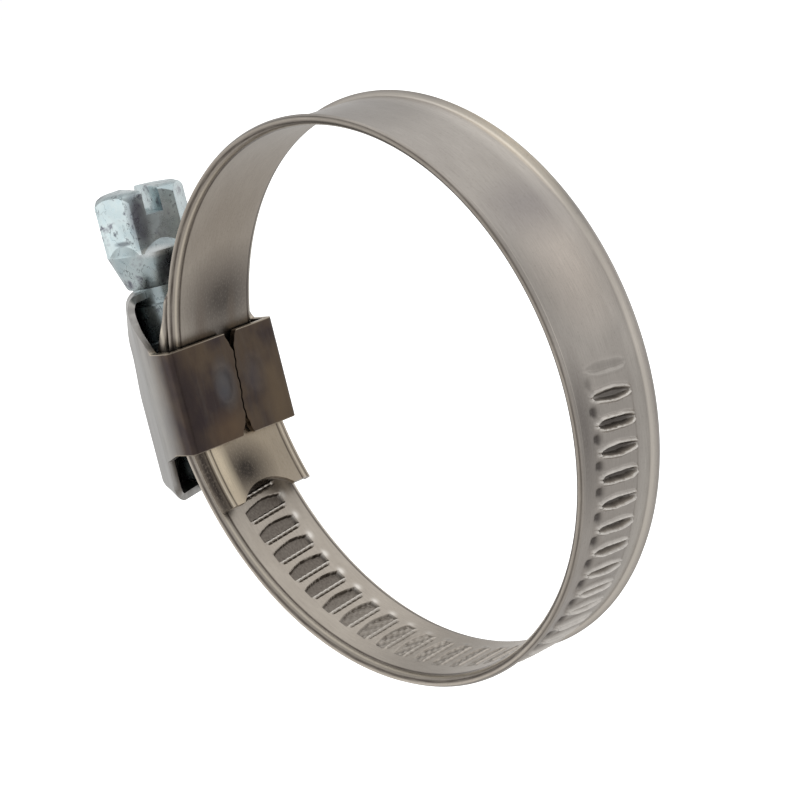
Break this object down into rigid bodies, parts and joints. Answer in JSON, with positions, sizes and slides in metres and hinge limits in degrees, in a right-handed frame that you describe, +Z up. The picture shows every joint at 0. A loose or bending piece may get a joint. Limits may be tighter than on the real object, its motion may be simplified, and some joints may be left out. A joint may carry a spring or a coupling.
{
  "type": "hose clamp",
  "caption": "Worm-drive hose clamp: a lipped, thread-embossed steel band through a folded housing, closed by a slotted hex screw.",
  "frame": {"origin": "centre of the pipe that the open clamp fits, in the middle of the band's width", "axes": "+Y along the bore, +Z up along the screw towards its head, the housing at -X"},
  "size_m": [0.0544, 0.0116, 0.0464],
  "materials": {
    "band_steel": "bright rolled stainless strip, fine lengthwise grain, heat tint at the weld",
    "housing_steel": "satin stainless sheet, brown and violet heat tint on the flaps",
    "screw_zinc": "blue-white zinc plate, slightly rough"
  },
  "bodies": {
    "clamp_housing": {"housing": "housing_steel", "band_fixed_end": "band_steel"},
    "clamp_screw": {"screw": "screw_zinc"},
    "free_end": {"band_free_end": "band_steel"},
    "span_01": {"band_span_01": "band_steel"},
    "span_02": {"band_span_02": "band_steel"},
    "span_03": {"band_span_03": "band_steel"},
    "span_04": {"band_span_04": "band_steel"},
    "span_05": {"band_span_05": "band_steel"},
    "span_06": {"band_span_06": "band_steel"},
    "span_07": {"band_span_07": "band_steel"},
    "span_08": {"band_span_08": "band_steel"},
    "span_09": {"band_span_09": "band_steel"}
  },
  "joints": [
    {"name": "screw_turn", "type": "hinge", "parent": "clamp_housing", "child": "clamp_screw", "pos_m": [-0.0279, 0, 0], "axis": [0, 0, -1], "range_deg": [0, 4320]},
    {"name": "band_feed", "type": "hinge", "parent": "clamp_housing", "child": "free_end", "pos_m": [-0.00075, 0, 0.0014], "axis": [0, 1, 0], "range_deg": [0, 62.93]},
    {"name": "band_bend_01", "type": "hinge", "parent": "free_end", "child": "span_01", "pos_m": [-0.00007, 0, -0.02252], "axis": [0, -1, 0], "range_deg": [0, 15.78]},
    {"name": "band_bend_02", "type": "hinge", "parent": "span_01", "child": "span_02", "pos_m": [0.0098, 0, -0.0199], "axis": [0, -1, 0], "range_deg": [0, 2.47]},
    {"name": "band_bend_03", "type": "hinge", "parent": "span_02", "child": "span_03", "pos_m": [0.0175, 0, -0.0132], "axis": [0, -1, 0], "range_deg": [0, 2.65]},
    {"name": "band_bend_04", "type": "hinge", "parent": "span_03", "child": "span_04", "pos_m": [0.02146, 0, -0.00378], "axis": [0, -1, 0], "range_deg": [0, 5.34]},
    {"name": "band_bend_05", "type": "hinge", "parent": "span_04", "child": "span_05", "pos_m": [0.02036, 0, 0.00787], "axis": [0, -1, 0], "range_deg": [0, 6.76]},
    {"name": "band_bend_06", "type": "hinge", "parent": "span_05", "child": "span_06", "pos_m": [0.01357, 0, 0.01739], "axis": [0, -1, 0], "range_deg": [0, 6.78]},
    {"name": "band_bend_07", "type": "hinge", "parent": "span_06", "child": "span_07", "pos_m": [0.00292, 0, 0.02223], "axis": [0, -1, 0], "range_deg": [0, 6.81]},
    {"name": "band_bend_08", "type": "hinge", "parent": "span_07", "child": "span_08", "pos_m": [-0.00872, 0, 0.02107], "axis": [0, -1, 0], "range_deg": [0, 7.73]},
    {"name": "band_bend_09", "type": "hinge", "parent": "span_08", "child": "span_09", "pos_m": [-0.01821, 0, 0.01423], "axis": [0, -1, 0], "range_deg": [0, 8.6]}
  ],
  "couplings": [
    {"joint": "band_feed", "follows": "screw_turn", "ratio": 0.014559},
    {"joint": "band_bend_01", "follows": "screw_turn", "ratio": 0.003651},
    {"joint": "band_bend_02", "follows": "screw_turn", "ratio": 0.00057072},
    {"joint": "band_bend_03", "follows": "screw_turn", "ratio": 0.00061334},
    {"joint": "band_bend_04", "follows": "screw_turn", "ratio": 0.0012352},
    {"joint": "band_bend_05", "follows": "screw_turn", "ratio": 0.0015645},
    {"joint": "band_bend_06", "follows": "screw_turn", "ratio": 0.0015691},
    {"joint": "band_bend_07", "follows": "screw_turn", "ratio": 0.0015764},
    {"joint": "band_bend_08", "follows": "screw_turn", "ratio": 0.0017887},
    {"joint": "band_bend_09", "follows": "screw_turn", "ratio": 0.0019899}
  ]
}
